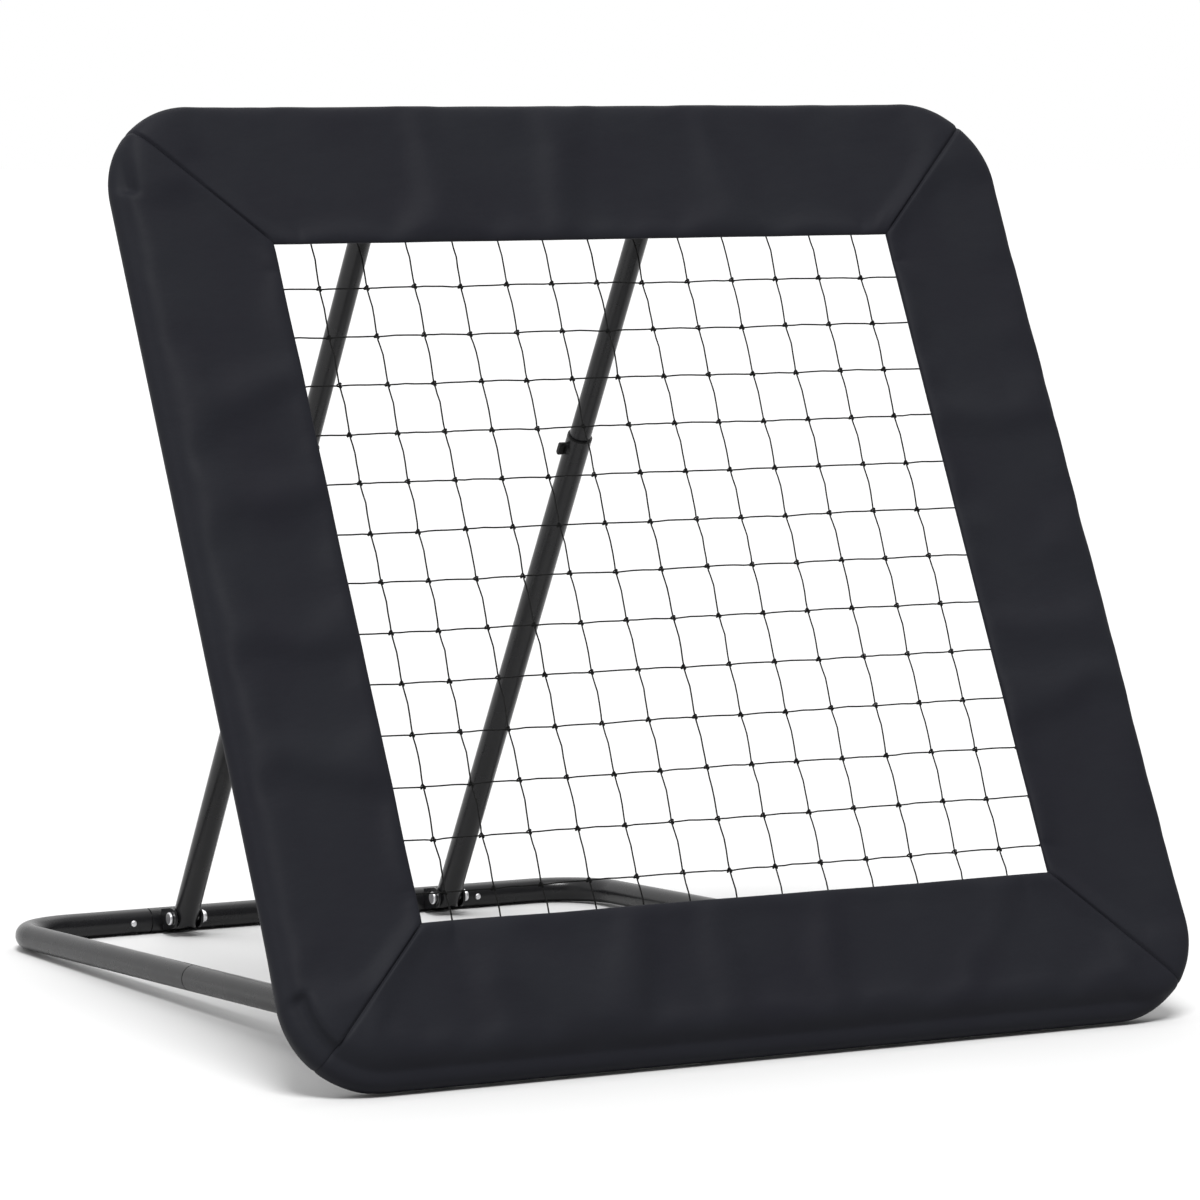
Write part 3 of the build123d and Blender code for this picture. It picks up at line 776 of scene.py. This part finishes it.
# ---------------------------------------------------------------- border rope
ROPE_CORNER = 0.014        # radius of the rope's path at the net's corners
ROPE_LAY = 0.017           # length of one turn of a ply
PLIES = 3
PLY_OFFSET = 0.00125       # a ply's axis to the rope's axis
PLY_R = 0.00132
ROPE_STEPS = 720           # points along each ply


def ring_point(run, half, radius):
    """Place on a rounded square after a run along it: its side, point and outward angle."""
    straight = 2 * (half - radius)
    bend = radius * math.pi / 2
    turn, rest = divmod(run, straight + bend)
    turn = int(turn)
    if rest < straight:
        along, outward, angle = rest - straight / 2, half, 0
    else:
        angle = (rest - straight) / radius
        along = straight / 2 + radius * math.sin(angle)
        outward = half - radius + radius * math.cos(angle)
    return turn, along, outward, angle


def make_border_rope():
    """Twisted rope around the net."""
    half, radius = NET_HALF + ROPE / 2, ROPE_CORNER
    length = 4 * (2 * (half - radius) + radius * math.pi / 2)
    lay = length / round(length / ROPE_LAY)
    rope = MeshParts()
    for ply in range(PLIES):
        points = []
        for k in range(ROPE_STEPS):
            run = length * k / ROPE_STEPS
            turn, along, outward, angle = ring_point(run, half, radius)
            phase = 2 * math.pi * (run / lay + ply / PLIES)
            off = PLY_OFFSET * math.cos(phase)
            points.append(
                on_edge(
                    -turn,
                    along + off * math.sin(angle),
                    outward + off * math.cos(angle),
                    TUBE_DEPTH + PLY_OFFSET * math.sin(phase),
                )
            )
        rope.tube(points, PLY_R, sides=7, closed=True)
    piece = rope.piece("twisted_border_rope", TWINE, "net_twine")
    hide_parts("border_rope")


make_border_rope()


# ---------------------------------------------------------------- elastic loops
CORD_R = 0.0012
TUBE_GAP = 0.0004          # between a loop and the frame tube
ROPE_GAP = 0.0012          # and between a loop and the border rope
LOOP_SKEW = 0.0015         # a loop's inner end may lie this far aside
LOOP_SEED = 3
STEPS_ROUND_TUBE = 32
STEPS_ROUND_ROPE = 12


def make_elastic_loops():
    """Round elastic loops that hold the border rope to the frame tube."""
    big = TUBE_R + TUBE_GAP + CORD_R
    small = ROPE / 2 + ROPE_GAP + CORD_R
    reach = TUBE_HALF - NET_HALF - ROPE / 2
    spread = math.acos((big - small) / reach)
    loops = MeshParts()
    draw = random.Random(LOOP_SEED)
    for turn in range(4):
        for step in LOOP_STEPS:
            skew = draw.uniform(-LOOP_SKEW, LOOP_SKEW)
            outline = []
            for k in range(STEPS_ROUND_TUBE + 1):
                angle = spread + (2 * math.pi - 2 * spread) * k / STEPS_ROUND_TUBE
                outline.append((TUBE_HALF - big * math.cos(angle), big * math.sin(angle), 0))
            for k in range(STEPS_ROUND_ROPE + 1):
                angle = -spread + 2 * spread * k / STEPS_ROUND_ROPE
                outline.append(
                    (TUBE_HALF - reach - small * math.cos(angle), small * math.sin(angle), skew)
                )
            points = [
                on_edge(turn, step * LOOP_PITCH + aside, outward, TUBE_DEPTH + depth)
                for outward, depth, aside in outline
            ]
            loops.tube(points, CORD_R, sides=8, closed=True)
    piece = loops.piece("round_elastic_loops", ELASTIC, "elastic_cord")
    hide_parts("elastic_loops")


make_elastic_loops()


# ---------------------------------------------------------------- camera, light and floor
# The camera looks at the aim from this far away, and from this far round and above it.
CAMERA_AZIMUTH = math.radians(-28.861)
CAMERA_ELEVATION = math.radians(5.345)
CAMERA_DISTANCE = 5.068
CAMERA_LENS = 171.17
CAMERA_AIM = Vector((-0.1932, -0.5161, 0.4339))
SENSOR_WIDTH = 36
FAR_CLIP = 50
FLOOR_HALF = 60
FLOOR_DROP = 0.0003            # the floor lies this far below the object's lowest point
LIT_SIDE = (-0.35, 0.8, 0.5)   # the surroundings are white behind, above and on the left
DIM_LIGHT = 0.22               # and this much of that in front and on the right
DIM_BELOW, LIT_ABOVE = -0.35, 0.3   # where that change starts and ends, along the lit side
# Each light: name, the direction it comes from, strength, and angle in degrees for its softness.
SUNS = (("key", (-0.35, -0.8, 1.6), 3.4, 24), ("back", (0.7, 1.0, 1.5), 0.4, 40))


def make_camera():
    """Camera at the object's left front, a little above its middle."""
    data = bpy.data.cameras.new("camera")
    data.lens = CAMERA_LENS
    data.sensor_width = SENSOR_WIDTH
    data.clip_end = FAR_CLIP
    camera = bpy.data.objects.new("camera", data)
    bpy.context.scene.collection.objects.link(camera)
    towards = Vector((
        math.sin(CAMERA_AZIMUTH) * math.cos(CAMERA_ELEVATION),
        -math.cos(CAMERA_AZIMUTH) * math.cos(CAMERA_ELEVATION),
        math.sin(CAMERA_ELEVATION),
    ))
    camera.location = CAMERA_AIM + towards * CAMERA_DISTANCE
    camera.rotation_euler = (-towards).to_track_quat("-Z", "Y").to_euler()
    bpy.context.scene.camera = camera


def add_sun(name, comes_from, strength, softness):
    """Even light over the whole floor, from one direction, with soft shadows."""
    data = bpy.data.lights.new(name, "SUN")
    data.energy = strength
    data.angle = math.radians(softness)
    light = bpy.data.objects.new(name, data)
    bpy.context.scene.collection.objects.link(light)
    light.rotation_euler = (-Vector(comes_from)).to_track_quat("-Z", "Y").to_euler()


def make_floor():
    """Pale, nearly even floor."""
    floor = bpy.data.meshes.new("floor")
    corners = [(x * FLOOR_HALF, y * FLOOR_HALF, 0) for x, y in ((-1, -1), (1, -1), (1, 1), (-1, 1))]
    floor.from_pydata(corners, [], [(0, 1, 2, 3)])
    stage = bpy.data.objects.new("floor", floor)
    bpy.context.scene.collection.objects.link(stage)
    stage.location.z = -FLOOR_DROP
    shader = Shader("floor", (0.60, 0.60, 0.60), 0.8, specular=0.1)
    shader.vary_colour(shader.noise(shader.place(), 3, 2), (0.59, 0.59, 0.59), (0.61, 0.61, 0.61))
    floor.materials.append(shader.material)


def make_surroundings():
    """White surroundings, dimmer in front and on the right."""
    world = bpy.data.worlds.new("studio")
    world.use_nodes = True
    tree = world.node_tree
    background = tree.nodes["Background"]
    background.inputs["Color"].default_value = (1, 1, 1, 1)
    heading = tree.nodes.new("ShaderNodeTexCoord")
    lit = tree.nodes.new("ShaderNodeVectorMath")
    lit.operation = "DOT_PRODUCT"
    lit.inputs[1].default_value = LIT_SIDE
    tree.links.new(heading.outputs["Generated"], lit.inputs[0])
    strength = tree.nodes.new("ShaderNodeMapRange")
    strength.interpolation_type = "SMOOTHSTEP"
    strength.inputs["From Min"].default_value = DIM_BELOW
    strength.inputs["From Max"].default_value = LIT_ABOVE
    strength.inputs["To Min"].default_value = DIM_LIGHT
    strength.inputs["To Max"].default_value = 1.0
    tree.links.new(lit.outputs["Value"], strength.inputs["Value"])
    tree.links.new(strength.outputs["Result"], background.inputs["Strength"])
    bpy.context.scene.world = world


make_camera()
make_floor()
make_surroundings()
for sun in SUNS:
    add_sun(*sun)
bpy.context.scene.view_settings.view_transform = "Standard"
